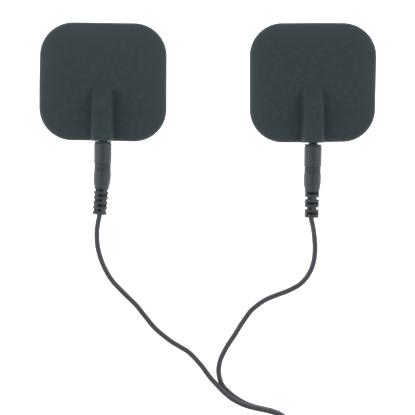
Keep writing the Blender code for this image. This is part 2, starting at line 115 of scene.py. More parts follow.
COIL_CENTRE = Vector((10.8, -139.5, 0.0)) * MM
COIL_TURNS = 4  # in each of its two layers
COIL_OUTER = 23.5 * MM  # radius of the outermost turn's centreline
COIL_PITCH = 1.95 * MM
TIE_ANGLE = math.radians(150)
TIE_LIFT = 0.6 * MM  # how far the turns ride up over the tie
TIE_INNER = 15.15 * MM  # from the centre of the coil to the insides of the strap's two uprights
TIE_OUTER = 23.75 * MM
TIE_LOW = 0.5 * MM
TIE_HIGH = 8.5 * MM
TIE_THICKNESS = 0.5 * MM
TIE_BEND = 0.9 * MM

JACK_BACK = Vector((-21.5, -151.5, 3.6)) * MM
JACK_TURN = 44.4  # degrees about +Z
JACK_LENGTH = 11.0 * MM
JACK_RADIUS = 1.25 * MM
JACK_HANDLE_LENGTH = 20.0 * MM

# Routes of the leads' centrelines in millimetres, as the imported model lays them.
LEFT_ROUTE = [
    (-41.1, -36.25, 3.6),
    (-41.6, -38.5, 3.4),
    (-42.1, -42.0, 2.4),
    (-42.0, -47.1, 1.2),
    (-41.0, -51.7, 0.9),
    (-39.2, -56.2, 0.9),
    (-36.4, -60.8, 0.9),
    (-32.1, -65.4, 0.9),
    (-27.5, -69.9, 0.9),
    (-23.8, -74.5, 0.9),
    (-19.9, -79.1, 0.9),
    (-14.4, -83.6, 0.9),
    (-10.7, -85.9, 0.9),
    (-7.1, -88.2, 1.0),
    (-2.7, -92.8, 1.3),
    (0.7, -97.3, 1.8),
    (3.6, -100.4, 2.4),
    (5.4, -102.2, 2.8),
]
RIGHT_ROUTE = [
    (39.1, -37.35, 3.6),
    (39.7, -39.8, 3.3),
    (40.3, -43.4, 2.3),
    (40.7, -48.5, 1.2),
    (40.2, -53.6, 0.9),
    (38.4, -58.2, 0.9),
    (35.2, -62.0, 0.9),
    (30.6, -64.6, 0.9),
    (26.1, -66.3, 0.9),
    (21.5, -68.3, 0.9),
    (16.9, -71.7, 0.9),
    (14.7, -74.4, 0.9),
    (12.4, -77.8, 0.9),
    (10.1, -81.5, 0.9),
    (7.2, -85.9, 0.9),
    (4.9, -90.5, 0.9),
    (4.1, -94.1, 0.9),
    (4.3, -97.1, 0.9),
    (5.1, -99.8, 0.9),
    (6.1, -101.4, 0.9),
]
TWIN_ROUTE = [
    (6.1, -102.2, 1.95),
    (9.0, -104.7, 1.95),
    (12.2, -106.7, 1.95),
    (15.5, -108.1, 1.95),
    (18.6, -109.0, 1.95),
    (22.0, -109.7, 1.95),
    (25.6, -110.7, 1.95),
    (28.8, -112.4, 1.95),
    (31.5, -115.2, 1.95),
    (33.3, -118.8, 1.95),
    (34.1, -122.8, 1.95),
    (34.4, -127.0, 1.95),
    (34.4, -133.0, 1.95),
]
TAIL_ROUTE = [
    (3.5, -163.2, 5.2),
    (-2.8, -163.0, 4.0),
    (-7.5, -162.1, 3.0),
    (-12.6, -159.5, 2.5),
    (-17.2, -155.9, 2.7),
    (-19.7, -153.4, 3.3),
    (-21.3, -151.7, 3.6),
]

# The camera looks straight down on the pads, plugs and the fork, and the coil lies past its edge.
VIEW_CENTRE = Vector((-0.17, -32.97, 1.0)) * MM
VIEW_WIDTH = 157.8 * MM
LENS = 120.0
SENSOR = 36.0
CAMERA_Y = -8.0 * MM  # the lens stands over the plugs' fronts, and its shift frames the view

# The tent's brightness by height: 0 is straight down, 0.5 the horizon and 1 overhead.
TENT_LEVELS = [
    (0.0, 0.3), (0.48, 0.4), (0.53, 0.55), (0.7, 0.85), (0.85, 0.95), (0.93, 0.65), (0.98, 0.15),
]
TENT_TOP = 0.02
TENT_STRENGTH = 1.1


# ---------------------------------------------------------------- camera, floor and light
def aim(obj, target):
    obj.rotation_euler = (Vector(target) - obj.location).to_track_quat("-Z", "Y").to_euler()


def link(obj):
    bpy.context.scene.collection.objects.link(obj)
    return obj


def make_camera():
    data = bpy.data.cameras.new("camera")
    data.lens = LENS
    data.sensor_width = SENSOR
    camera = link(bpy.data.objects.new("camera", data))
    camera.location = VIEW_CENTRE + Vector((0, 0, VIEW_WIDTH * LENS / SENSOR))
    camera.location.y = CAMERA_Y
    data.shift_y = (VIEW_CENTRE.y - CAMERA_Y) / VIEW_WIDTH
    bpy.context.scene.camera = camera


def make_softbox(name, location, size, power):
    data = bpy.data.lights.new(name, "AREA")
    data.shape = "RECTANGLE"
    data.size, data.size_y = size
    data.energy = power
    box = link(bpy.data.objects.new(name, data))
    box.location = location
    aim(box, (0.0, -0.03, 0.0))


def make_studio():
    """A white sweep that gives a little light of its own, and a soft box on either side."""
    bm = bmesh.new()
    bmesh.ops.create_grid(bm, x_segments=1, y_segments=1, size=3.0)
    mesh = bpy.data.meshes.new("floor")
    bm.to_mesh(mesh)
    bm.free()
    floor = link(bpy.data.objects.new("floor", mesh))
    floor.location = (0.0, 0.0, -0.05 * MM)
    white = bpy.data.materials.new("floor_white")
    white.use_nodes = True
    shader = white.node_tree.nodes["Principled BSDF"]
    shader.inputs["Base Color"].default_value = (0.85, 0.85, 0.85, 1.0)
    shader.inputs["Roughness"].default_value = 1.0
    shader.inputs["Specular IOR Level"].default_value = 0.0
    shader.inputs["Emission Color"].default_value = (1.0, 1.0, 1.0, 1.0)
    shader.inputs["Emission Strength"].default_value = 1.0
    mesh.materials.append(white)

    make_softbox("softbox_left", (-0.8, 0.1, 0.45), (0.6, 0.9), 1.2)
    make_softbox("softbox_right", (0.8, 0.1, 0.45), (0.6, 0.9), 0.8)
    bpy.context.scene.view_settings.view_transform = "Standard"
    bpy.context.scene.world = make_tent()


def make_tent():
    """A white light tent: bright all round, and dark overhead, where the camera looks in."""
    world = bpy.data.worlds.new("studio")
    world.use_nodes = True
    tree = world.node_tree
    backdrop = tree.nodes["Background"]
    backdrop.inputs["Color"].default_value = (1.0, 1.0, 1.0, 1.0)
    backdrop.inputs["Strength"].default_value = 1.0
    direction = tree.nodes.new("ShaderNodeTexCoord")
    split = tree.nodes.new("ShaderNodeSeparateXYZ")
    tree.links.new(direction.outputs["Generated"], split.inputs["Vector"])
    height = tree.nodes.new("ShaderNodeMapRange")
    height.inputs["From Min"].default_value = -1.0
    tree.links.new(split.outputs["Z"], height.inputs["Value"])
    ramp = tree.nodes.new("ShaderNodeValToRGB")
    tree.links.new(height.outputs["Result"], ramp.inputs["Fac"])
    while len(ramp.color_ramp.elements) > 1:
        ramp.color_ramp.elements.remove(ramp.color_ramp.elements[0])
    ramp.color_ramp.elements[0].position = 1.0
    ramp.color_ramp.elements[0].color = (TENT_TOP, TENT_TOP, TENT_TOP, 1.0)
    for position, level in TENT_LEVELS:
        stop = ramp.color_ramp.elements.new(position)
        stop.color = (0.92 * level, 0.97 * level, level, 1.0)
    room = tree.nodes.new("ShaderNodeBackground")
    tree.links.new(ramp.outputs["Color"], room.inputs["Color"])
    room.inputs["Strength"].default_value = TENT_STRENGTH
    rays = tree.nodes.new("ShaderNodeLightPath")
    choose = tree.nodes.new("ShaderNodeMixShader")
    tree.links.new(rays.outputs["Is Camera Ray"], choose.inputs["Fac"])
    tree.links.new(room.outputs["Background"], choose.inputs[1])
    tree.links.new(backdrop.outputs["Background"], choose.inputs[2])
    tree.links.new(choose.outputs["Shader"], tree.nodes["World Output"].inputs["Surface"])
    return world


# ---------------------------------------------------------------- materials
def add_node(tree, kind, inputs=None, **settings):
    """Adds a node, sets its properties, and links or sets each named input."""
    made = tree.nodes.new(kind)
    for name, value in settings.items():
        setattr(made, name, value)
    for name, value in (inputs or {}).items():
        if isinstance(value, bpy.types.NodeSocket):
            tree.links.new(value, made.inputs[name])
        else:
            made.inputs[name].default_value = value
    return made


def surface(name, roughness, metallic=0.0, specular=0.5):
    """A new material with its Principled shader's plain values set."""
    made = bpy.data.materials.new(name)
    made.use_nodes = True
    shader = made.node_tree.nodes["Principled BSDF"]
    shader.inputs["Roughness"].default_value = roughness
    shader.inputs["Metallic"].default_value = metallic
    shader.inputs["Specular IOR Level"].default_value = specular
    return made


def place_texture(tree, stretch=(1.0, 1.0, 1.0)):
    """The piece's own coordinates, in millimetres."""
    coordinates = add_node(tree, "ShaderNodeTexCoord").outputs["Object"]
    scale = tuple(part / MM for part in stretch)
    return add_node(
        tree, "ShaderNodeMapping", {"Vector": coordinates, "Scale": scale}
    ).outputs["Vector"]


def noise(tree, vector, size, detail=3.0, roughness=0.55):
    """Noise whose features are about size millimetres across."""
    return add_node(
        tree,
        "ShaderNodeTexNoise",
        {"Vector": vector, "Scale": 1.0 / size, "Detail": detail, "Roughness": roughness},
    ).outputs["Fac"]


def blend_colors(tree, factor, low, high, start=0.0, end=1.0):
    ramp = add_node(tree, "ShaderNodeValToRGB", {"Fac": factor})
    ramp.color_ramp.elements[0].position = start
    ramp.color_ramp.elements[0].color = (*low, 1.0)
    ramp.color_ramp.elements[1].position = end
    ramp.color_ramp.elements[1].color = (*high, 1.0)
    return ramp.outputs["Color"]


def mix_colors(tree, factor, low, high):
    """Low turning to high with the factor. Sockets 0, 6 and 7 are the factor and the colours."""
    colors = {0: factor, 6: low, 7: (*high, 1.0)}
    return add_node(tree, "ShaderNodeMix", colors, data_type="RGBA").outputs[2]


def remap(tree, value, low, high, start=0.0, end=1.0):
    return add_node(
        tree,
        "ShaderNodeMapRange",
        {"Value": value, "From Min": start, "From Max": end, "To Min": low, "To Max": high},
    ).outputs["Result"]


def add_bump(tree, height, distance, strength=1.0, below=None):
    inputs = {"Height": height, "Distance": distance, "Strength": strength}
    if below is not None:
        inputs["Normal"] = below
    return add_node(tree, "ShaderNodeBump", inputs).outputs["Normal"]


def scaled(color, factor):
    return tuple(part * factor for part in color)


def moulded(
    name, color, roughness, mottle=0.06, grain=0.16, grain_depth=0.006, painted_light=0.0, painted_slot_shade=0.0,
    specular=0.5,
):
    """A moulded rubber or plastic: mottled colour, a fine mould grain, a painted highlight and
    painted light that make it paler where one point attribute of the mesh says, and painted shade in
    its slots where another says."""
    made = surface(name, roughness, specular=specular)
    tree = made.node_tree
    shader = tree.nodes["Principled BSDF"]
    place = place_texture(tree)
    clouds = noise(tree, place, 2.2, 5.0)
    tint = blend_colors(tree, clouds, scaled(color, 1 - mottle), scaled(color, 1 + mottle), 0.3, 0.7)
    # Painted highlight and painted light: a paler colour where the mesh's point attribute says.
    if painted_light:
        edge = add_node(tree, "ShaderNodeAttribute", attribute_name="painted_light").outputs["Fac"]
        tint = mix_colors(tree, edge, tint, scaled(color, 1 + painted_light))
    # Painted shade: a darker colour down in the slots, where the mesh's point attribute says.
    if painted_slot_shade:
        depth = add_node(tree, "ShaderNodeAttribute", attribute_name="slot_shade_depth").outputs["Fac"]
        tint = mix_colors(tree, depth, tint, scaled(color, 1 - painted_slot_shade))
    tree.links.new(tint, shader.inputs["Base Color"])
    patches = noise(tree, place, 0.9, 4.0)
    shine = remap(tree, patches, roughness - 0.05, roughness + 0.06, 0.3, 0.7)
    tree.links.new(shine, shader.inputs["Roughness"])
    coarse = add_bump(tree, noise(tree, place, 1.4, 2.0), 0.02 * MM, 0.5)
    fine = add_bump(tree, noise(tree, place, grain, 3.0), grain_depth * MM, 1.0, coarse)
    tree.links.new(fine, shader.inputs["Normal"])
    return made


def extruded(name, color, roughness):
    """A lead's PVC sleeve: satin, with faint dull patches from handling."""
    made = surface(name, roughness)
    tree = made.node_tree
    shader = tree.nodes["Principled BSDF"]
    place = place_texture(tree)
    clouds = noise(tree, place, 3.0, 4.0)
    tint = blend_colors(tree, clouds, scaled(color, 0.92), scaled(color, 1.08), 0.3, 0.7)
    tree.links.new(tint, shader.inputs["Base Color"])
    patches = noise(tree, place, 1.2, 4.0)
    shine = remap(tree, patches, roughness - 0.07, roughness + 0.08, 0.3, 0.7)
    tree.links.new(shine, shader.inputs["Roughness"])
    skin = add_bump(tree, noise(tree, place, 0.35, 3.0), 0.006 * MM, 0.8)
    tree.links.new(skin, shader.inputs["Normal"])
    return made


def metal(name, color, roughness, stretch, size):
    """Plated or drawn metal with fine lines along its own Y, or round it, from turning."""
    made = surface(name, roughness, metallic=1.0)
    tree = made.node_tree
    shader = tree.nodes["Principled BSDF"]
    lines = noise(tree, place_texture(tree, stretch), size, 3.0)
    clouds = noise(tree, place_texture(tree), 1.5, 3.0)
    tint = blend_colors(tree, clouds, scaled(color, 0.94), color, 0.35, 0.65)
    tree.links.new(tint, shader.inputs["Base Color"])
    shine = remap(tree, lines, roughness - 0.06, roughness + 0.08, 0.3, 0.7)
    tree.links.new(shine, shader.inputs["Roughness"])
    tree.links.new(add_bump(tree, lines, 0.002 * MM), shader.inputs["Normal"])
    return made


MATERIALS = {
    # The rubber's paler rim, edges and far side are painted highlight and painted light.
    "carbon_rubber": moulded(
        "carbon_rubber", (0.033, 0.046, 0.051), 0.7, mottle=0.13, painted_light=0.3, specular=0.35
    ),
    "moulded_pvc": moulded("moulded_pvc", (0.041, 0.052, 0.056), 0.45, grain_depth=0.004),
    # The boots' darker slots are painted shade.
    "soft_pvc": moulded(
        "soft_pvc", (0.050, 0.058, 0.066), 0.5, grain_depth=0.004, painted_slot_shade=0.93, specular=0.4
    ),
    "lead_pvc": extruded("lead_pvc", (0.056, 0.060, 0.068), 0.45),
    "black_plastic": moulded("black_plastic", (0.012, 0.013, 0.014), 0.36, grain_depth=0.002),
    "tie_plastic": moulded("tie_plastic", (0.020, 0.020, 0.021), 0.4, grain_depth=0.003),
    "plated_brass": metal("plated_brass", (0.78, 0.77, 0.74), 0.2, (0.15, 4.0, 0.15), 0.5),
    "copper": metal("copper", (0.80, 0.42, 0.26), 0.34, (4.0, 0.2, 4.0), 0.4),
}


# ---------------------------------------------------------------- mesh tools
def mesh_from(name, points, faces, sharp=35.0):
    """A mesh with its faces turned out and its round faces shaded smooth."""
    mesh = bpy.data.meshes.new(name)
    mesh.from_pydata([tuple(p) for p in points], [], [tuple(f) for f in faces])
    bm = bmesh.new()
    bm.from_mesh(mesh)
    bmesh.ops.remove_doubles(bm, verts=bm.verts, dist=1e-8)
    bmesh.ops.recalc_face_normals(bm, faces=bm.faces)
    bm.to_mesh(mesh)
    bm.free()
    mesh.shade_smooth()
    mesh.set_sharp_from_angle(angle=math.radians(sharp))
    return mesh


def put(name, mesh, place, body, slot, *nodes):
    """Moves a mesh to its place, dresses it, and rides it on a body in place of CAD nodes."""
    mesh.transform(place)
    mesh.materials.clear()
    mesh.materials.append(MATERIALS[slot])
    piece = link(bpy.data.objects.new(name, mesh))
    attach(piece, body)
    if nodes:
        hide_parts(*nodes)
    return piece


def eased(corners, steps=5):
    """The line through (radius, y, easing) corners, each eased into a curve."""
    points = []
    last = len(corners) - 1
    for i, (radius, y, ease) in enumerate(corners):
        here = Vector((radius, y))
        if ease == 0 or i in (0, last):
            points.append(here)
            continue
        before = (Vector(corners[i - 1][:2]) - here).normalized() * ease + here
        after = (Vector(corners[i + 1][:2]) - here).normalized() * ease + here
        for k in range(steps + 1):
            t = k / steps
            points.append(before * (1 - t) ** 2 + here * 2 * t * (1 - t) + after * t * t)
    return points


def lathe(name, profile, steps=ROUND_STEPS, closed=False, sharp=35.0):
    """A mesh turned about +Y from (radius, y) points. Points of radius 0 close the ends."""
    points, rings, faces = [], [], []
    for radius, y in profile:
        if radius < 1e-9:
            rings.append([len(points)] * steps)
            points.append((0.0, y, 0.0))
            continue
        rings.append([len(points) + i for i in range(steps)])
        for i in range(steps):
            angle = 2 * math.pi * i / steps
            points.append((radius * math.cos(angle), y, radius * math.sin(angle)))
    pairs = list(zip(rings, rings[1:]))
    if closed:
        pairs.append((rings[-1], rings[0]))
    for low, high in pairs:
        for i in range(steps):
            j = (i + 1) % steps
            face = dict.fromkeys((low[i], low[j], high[j], high[i]))
            if len(face) > 2:
                faces.append(tuple(face))
    return mesh_from(name, points, faces, sharp)


def loft(name, rings, sharp=35.0):
    """A mesh skinned over rings with the same number of points, with flat ends."""
    count = len(rings[0])
    points = [point for ring in rings for point in ring]
    faces = []
    for row in range(len(rings) - 1):
        for i in range(count):
            j = (i + 1) % count
            a, b = row * count, (row + 1) * count
            faces.append((a + i, a + j, b + j, b + i))
    faces.append(range(count))
    faces.append(range(len(points) - count, len(points)))
    return mesh_from(name, points, faces, sharp)


def smooth_route(route, spacing):
    """Evenly spaced points on a Catmull-Rom curve through the route."""
    knots = [Vector(point) for point in route]
    knots = [2 * knots[0] - knots[1], *knots, 2 * knots[-1] - knots[-2]]
    parts = 24
    fine = []
    for a, b, c, d in zip(knots, knots[1:], knots[2:], knots[3:]):
        for i in range(parts):
            t = i / parts
            point = 2 * b + (c - a) * t + (2 * a - 5 * b + 4 * c - d) * t**2
            fine.append((point + (3 * b - a - 3 * c + d) * t**3) / 2)
    fine.append(knots[-2])
    fine = np.array([tuple(point) for point in fine])
    travelled = np.concatenate([[0.0], np.cumsum(np.linalg.norm(np.diff(fine, axis=0), axis=1))])
    count = max(2, round(travelled[-1] / spacing)) + 1
    stops = np.linspace(0.0, travelled[-1], count)
    return np.stack([np.interp(stops, travelled, fine[:, k]) for k in range(3)], axis=1)


def sweep(name, path, section_at, sharp=40.0):
    """A tube along path. section_at(distance) gives its outline as (right, up) offsets."""
    along = np.gradient(path, axis=0)
    along /= np.linalg.norm(along, axis=1, keepdims=True)
    right = np.cross(along, (0.0, 0.0, 1.0))
    right /= np.linalg.norm(right, axis=1, keepdims=True)
    up = np.cross(right, along)
    steps = np.linalg.norm(np.diff(path, axis=0), axis=1)
    travelled = np.concatenate([[0.0], np.cumsum(steps)])
    rings = []
    for i, distance in enumerate(travelled):
        outline = section_at(distance)
        rings.append([path[i] + right[i] * a + up[i] * b for a, b in outline])
    return loft(name, rings, sharp)


def apply_modifiers(obj):
    """Replaces the object's mesh with what its modifiers make of it."""
    bpy.context.view_layer.update()
    evaluated = obj.evaluated_get(bpy.context.evaluated_depsgraph_get())
    mesh = bpy.data.meshes.new_from_object(evaluated)
    obj.modifiers.clear()
    return mesh


def combine(mesh, others, bevel=0.0):
    """The mesh after Booleans with (operation, mesh) pairs, and a small bevel on its edges.
    Its normals follow the larger faces, so that flat faces stay flat up to their edges."""
    base = link(bpy.data.objects.new("work", mesh))
    helpers = []
    for operation, other in others:
        helper = link(bpy.data.objects.new("helper", other))
        helpers.append(helper)
        modifier = base.modifiers.new(operation, "BOOLEAN")
        modifier.operation = operation
        modifier.object = helper
        modifier.solver = "EXACT"
    if bevel:
        modifier = base.modifiers.new("bevel", "BEVEL")
        modifier.width = bevel
        modifier.segments = 3
        modifier.limit_method = "ANGLE"
        modifier.angle_limit = math.radians(35)
    base.data = apply_modifiers(base)
    base.data.shade_smooth()
    base.data.set_sharp_from_angle(angle=math.radians(35))
    weighted = base.modifiers.new("weighted", "WEIGHTED_NORMAL")
    weighted.keep_sharp = True
    weighted.weight = 90
    made = apply_modifiers(base)
    for obj in [base, *helpers]:
        bpy.data.objects.remove(obj)
    return made


def box_faces():
    return [(0, 1, 3, 2), (4, 6, 7, 5), (0, 4, 5, 1), (2, 3, 7, 6), (0, 2, 6, 4), (1, 5, 7, 3)]


def boxes_mesh(name, boxes, turn):
    """Boxes given by their low and high corners, turned together about +Y."""
    rotation = Matrix.Rotation(turn, 3, "Y")
    points, faces = [], []
    for low, high in boxes:
        start = len(points)
        for x in (low[0], high[0]):
            for y in (low[1], high[1]):
                for z in (low[2], high[2]):
                    points.append(rotation @ Vector((x, y, z)))
        faces += [tuple(start + i for i in face) for face in box_faces()]
    return mesh_from(name, points, faces)


# ---------------------------------------------------------------- places, from the frame
def joint(name):
    return next(j for j in frame["joints"] if j["name"] == name)


def axis_place(origin, along):
    """A frame at origin whose +Y is along, with +Z up."""
    y = Vector(along).normalized()
    x = y.cross(Vector((0, 0, 1))).normalized()
    place = Matrix((x, y, x.cross(y))).transposed().to_4x4()
    place.translation = Vector(origin)
    return place


def plug_place(side):
    """The pin's axis, with its origin at the plug's front face."""
    swivel = joint(side + "_swivel")
    return axis_place(swivel["pos_m"], swivel["axis"])


def pad_place(side):
    origin = Vector(joint(side + "_swivel")["pos_m"])
    return Matrix.Translation(origin) @ Matrix.Rotation(math.radians(PAD_TURN[side]), 4, "Z")


def pulled_out(side):
    """How far the electrode stands off its plug at rest."""
    return -joint(side + "_pull_off")["range_m"][0]


PIN_HEIGHT = joint("left_swivel")["pos_m"][2]


# ---------------------------------------------------------------- electrodes
def stray(side, x, y):
    """How far the edge strays outward in this direction from the sheet's centre."""
    degrees, offsets = zip(*PAD_STRAY[side])
    here = math.degrees(math.atan2(y, x)) % 360
    fine = np.interp(here + np.linspace(-9, 9, 7), degrees, offsets, period=360)
    return float(fine.mean()) * MM


def pad_outline(side, inset, centre, z):
    """Points round the sheet's rounded rectangle, inset from its edge."""
    corner_steps, side_steps = 14, 10
    half_x = PAD_WIDTH / 2 - PAD_CORNER
    half_y = PAD_LENGTH[side] / 2 - PAD_CORNER
    radius = PAD_CORNER - inset
    turned = []
    for quarter in range(4):
        mid = Vector((half_x if quarter in (0, 3) else -half_x, half_y if quarter < 2 else -half_y))
        for i in range(corner_steps + 1):
            turned.append((mid, (quarter + i / corner_steps) * math.pi / 2))
        ahead = (quarter + 1) % 4
        goal = Vector((half_x if ahead in (0, 3) else -half_x, half_y if ahead < 2 else -half_y))
        for i in range(1, side_steps):
            turned.append((mid.lerp(goal, i / side_steps), ahead * math.pi / 2))
    points = []
    for mid, angle in turned:
        out = Vector((math.cos(angle), math.sin(angle)))
        edge = mid + out * PAD_CORNER
        at = mid + out * (radius + stray(side, edge.x, edge.y))
        points.append(Vector((centre[0] + at.x, centre[1] + at.y, z)))
    return points


def crown_drop(inset):
    """How far the sheet's top has fallen at this distance from its edge."""
    reach = max(0.0, 1.0 - inset / PAD_CROWN_WIDTH)
    return PAD_CROWN * reach * reach


def pad_mesh(side, centre):
    """The sheet, crowned on top and rounded at its rim. z is measured from the pin's axis."""
    floor = -PIN_HEIGHT
    under_round = 0.2 * MM
    rows = [(under_round * 1.6, 0.0)]
    for k in range(1, 4):
        angle = k / 3 * math.pi / 2
        rows.append((under_round * (1 - math.sin(angle)), under_round * (1 - math.cos(angle))))
    for inset, height in RIM:
        rows.append((inset * MM, height * MM - crown_drop(inset * MM)))
    for inset in (3.0, 4.0, 5.0, 6.5, 8.0, 10.0, 11.5):
        rows.append((inset * MM, PAD_THICKNESS - crown_drop(inset * MM)))
    rings = [pad_outline(side, inset, centre, floor + z) for inset, z in rows]
    return loft("pad", rings, 60.0)


def boss_section(y, width, top, base, fillet, corner):
    """One cross-section of the boss, from its left toe over its top to its right toe."""
    steps = 6
    half = width / 2
    foot = half + BOSS_DRAFT * (top - base)
    lean = math.atan(BOSS_DRAFT)
    points = []
    for i in range(steps + 1):
        angle = i / steps * (math.pi / 2 - lean)
        points.append((-foot - fillet * (1 - math.sin(angle)), base + fillet * (1 - math.cos(angle))))
    for i in range(steps + 1):
        angle = math.pi - lean - i / steps * (math.pi / 2 - lean)
        x = -half + corner * (1 + math.cos(angle)) - BOSS_DRAFT * corner * (1 - i / steps)
        points.append((x, top - corner * (1 - math.sin(angle))))
    points += [(-x, z) for x, z in reversed(points)]
    return [(x, y, z) for x, z in points]


def sheet_top(y, edge):
    """Height of the sheet's top at this distance in from its front edge, above the pin's axis."""
    inset = max(0.0, y - edge)
    insets, heights = zip((0.0, 0.2), *RIM, (12.0, PAD_THICKNESS / MM))
    top = np.interp(inset / MM, insets, heights) * MM
    return float(top) - crown_drop(inset) - PIN_HEIGHT


def boss_mesh(nose):
    """The socket boss: chamfered nose, level ridge, and a ramp that runs out on the sheet."""
    ridge = BOSS_TOP - PIN_HEIGHT
    edge = nose + BOSS_PROUD
    stations = [(0.0, NOSE_WIDTH, NOSE_TOP - PIN_HEIGHT, BOSS_ROUND)]
    stations.append((0.25 * MM, NOSE_WIDTH + 0.7 * MM, NOSE_TOP - PIN_HEIGHT + 0.25 * MM, BOSS_ROUND))
    stations.append((NOSE_CHAMFER, BOSS_WIDTH, ridge, BOSS_ROUND))
    for y in (2.0, 4.0, 7.0, 10.0, 13.0):
        stations.append((y * MM, BOSS_WIDTH, ridge, BOSS_ROUND))
    ramp = BOSS_LENGTH - BOSS_FLAT
    over = 0.5 * MM
    foot = PAD_THICKNESS - PIN_HEIGHT
    for i in range(9):
        part = i / 8
        width = BOSS_WIDTH + (BOSS_FOOT_WIDTH - BOSS_WIDTH) * part
        top = ridge + (foot - ridge) * part
        stations.append((BOSS_FLAT + ramp * part, width, top, BOSS_ROUND * (1 - part) + 0.06 * MM))
    slope = (ridge - foot) / ramp
    stations.append((BOSS_LENGTH + over, BOSS_FOOT_WIDTH, foot - slope * over, 0.03 * MM))
    sections = []
    for y, width, top, corner in stations:
        base = sheet_top(nose + y, edge) - 0.03 * MM
        fillet = min(BOSS_FILLET, max(0.0, (top - base) * 0.5))
        base = min(base, top - 0.05 * MM)
        corner = min(corner, max(0.02 * MM, top - base - fillet))
        sections.append(boss_section(nose + y, width, top, base, fillet, corner))
    bottom = 0.9 * MM - PIN_HEIGHT
    rings = []
    for section in sections:
        left, right = section[0], section[-1]
        rings.append([(left[0], left[1], min(bottom, left[2] - 0.01 * MM)), *section,
                      (right[0], right[1], min(bottom, right[2] - 0.01 * MM))])
    return loft("boss", rings, 50.0)


def socket_mesh(nose):
    end = nose + SOCKET_DEPTH
    mouth = nose + MOUTH_DEPTH
    profile = eased([
        (0.0, end, 0.0),
        (SOCKET_RADIUS, end, 0.5 * MM),
        (SOCKET_RADIUS, mouth, 0.15 * MM),
        (MOUTH_RADIUS, mouth, 0.1 * MM),
        (MOUTH_RADIUS, nose, 0.15 * MM),
        (MOUTH_RADIUS + 0.25 * MM, nose, 0.0),
        (MOUTH_RADIUS + 0.25 * MM, nose - 1.0 * MM, 0.0),
        (0.0, nose - 1.0 * MM, 0.0),
    ])
    return lathe("socket", profile)


def mark_painted_light(side, mesh, centre):
    """Stores where the rubber's colour is painted paler: a painted highlight along the rim, painted
    light towards the crowned edges, and more of it far from the boss.
    """
    attribute = mesh.attributes.new("painted_light", "FLOAT", "POINT")
    half_x = PAD_WIDTH / 2 - PAD_CORNER
    half_y = PAD_LENGTH[side] / 2 - PAD_CORNER
    narrow = 0.45 * MM
    values = []
    for vertex in mesh.vertices:
        x = max(0.0, abs(vertex.co.x - centre[0]) - half_x)
        y = max(0.0, abs(vertex.co.y - centre[1]) - half_y)
        inset = max(0.0, PAD_CORNER - math.hypot(x, y))
        along = (vertex.co.y - centre[1]) / PAD_LENGTH[side] + 0.5
        wide = max(0.0, 1.0 - inset / PAD_CROWN_WIDTH) ** 2
        rim = math.exp(-inset / narrow) * RIM_PAINTED_HIGHLIGHT
        values.append((wide + rim) * (0.35 + 0.65 * min(1.0, along * 3)) + FAR_PAINTED_LIGHT[side] * along**2)
    attribute.data.foreach_set("value", values)


def make_electrode(side):
    nose = GAP + pulled_out(side)
    centre = (PAD_SHIFT[side], nose + BOSS_PROUD + PAD_LENGTH[side] / 2)
    place = pad_place(side)
    socket = socket_mesh(nose)
    socket.transform(place.inverted() @ plug_place(side))
    boss = boss_mesh(nose)
    boss.transform(Matrix.Translation((BOSS_ASIDE[side], 0.0, 0.0)))
    sheet = pad_mesh(side, centre)
    mesh = combine(sheet, [("UNION", boss), ("DIFFERENCE", socket)])
    mark_painted_light(side, mesh, centre)
    name = side + "_electrode"
    put(name + "_moulding", mesh, place, side + "_pad", "carbon_rubber", name)


# ---------------------------------------------------------------- pin plugs
def groove(radius, y, width, depth):
    """A shallow round groove in a profile that runs towards -Y."""
    return [
        (radius, y + width / 2, 0.05 * MM),
        (radius - depth, y + width / 4, 0.06 * MM),
        (radius - depth, y - width / 4, 0.06 * MM),
        (radius, y - width / 2, 0.05 * MM),
    ]


def plug_mesh():
    """The moulded body: a lipped front, a finely grooved grip, a rear barrel and a cone."""
    grip = PLUG_RADIUS - 0.1 * MM
    outside = [
        (2.2 * MM, PLUG_FRONT, 0.0),
        (2.8 * MM, PLUG_FRONT, 0.1 * MM),
        (PLUG_RADIUS - 0.03 * MM, PLUG_FRONT - 0.35 * MM, 0.12 * MM),
    ]
    outside += groove(PLUG_RADIUS, PLUG_FRONT - 0.75 * MM, 0.4 * MM, 0.3 * MM)
    outside += [
        (PLUG_RADIUS, -2.0 * MM, 0.1 * MM),
        (PLUG_RADIUS - 0.03 * MM, -8.0 * MM, 0.1 * MM),
    ]
    for k in range(4):
        outside += groove(grip, (-8.45 - 0.76 * k) * MM, 0.46 * MM, 0.2 * MM)
    outside += [
        (grip, -11.1 * MM, 0.05 * MM),
        (PLUG_RADIUS - 0.06 * MM, -11.35 * MM, 0.15 * MM),
        (PLUG_RADIUS - 0.03 * MM, -13.2 * MM, 0.8 * MM),
        (PLUG_RADIUS - 0.12 * MM, -15.0 * MM, 0.7 * MM),
        (2.9 * MM, -16.4 * MM, 0.5 * MM),
        (2.68 * MM, -PLUG_LENGTH, 0.1 * MM),
        (2.45 * MM, -PLUG_LENGTH, 0.0),
    ]
    inside = [
        (1.6 * MM, -PLUG_LENGTH, 0.0),
        (1.6 * MM, -BEND_START, 0.0),
        (1.6 * MM, -4.3 * MM, 0.0),
        (1.9 * MM, -4.3 * MM, 0.0),
        (1.9 * MM, -2.2 * MM, 0.0),
        (1.3 * MM, -2.2 * MM, 0.0),
        (1.3 * MM, -1.5 * MM, 0.0),
        (2.0 * MM, -1.5 * MM, 0.0),
        (2.0 * MM, PLUG_FRONT - 0.15 * MM, 0.08 * MM),
    ]
    return lathe("plug", eased(outside + inside), closed=True)


def aside(back, bend):
    """How far a bent plug's axis has moved towards -X at this distance behind its front face."""
    curved = min(max(back - BEND_START, 0.0), PLUG_LENGTH - BEND_START)
    straight = max(back - PLUG_LENGTH, 0.0)
    return bend * (curved * curved / 2 + (PLUG_LENGTH - BEND_START) * straight)


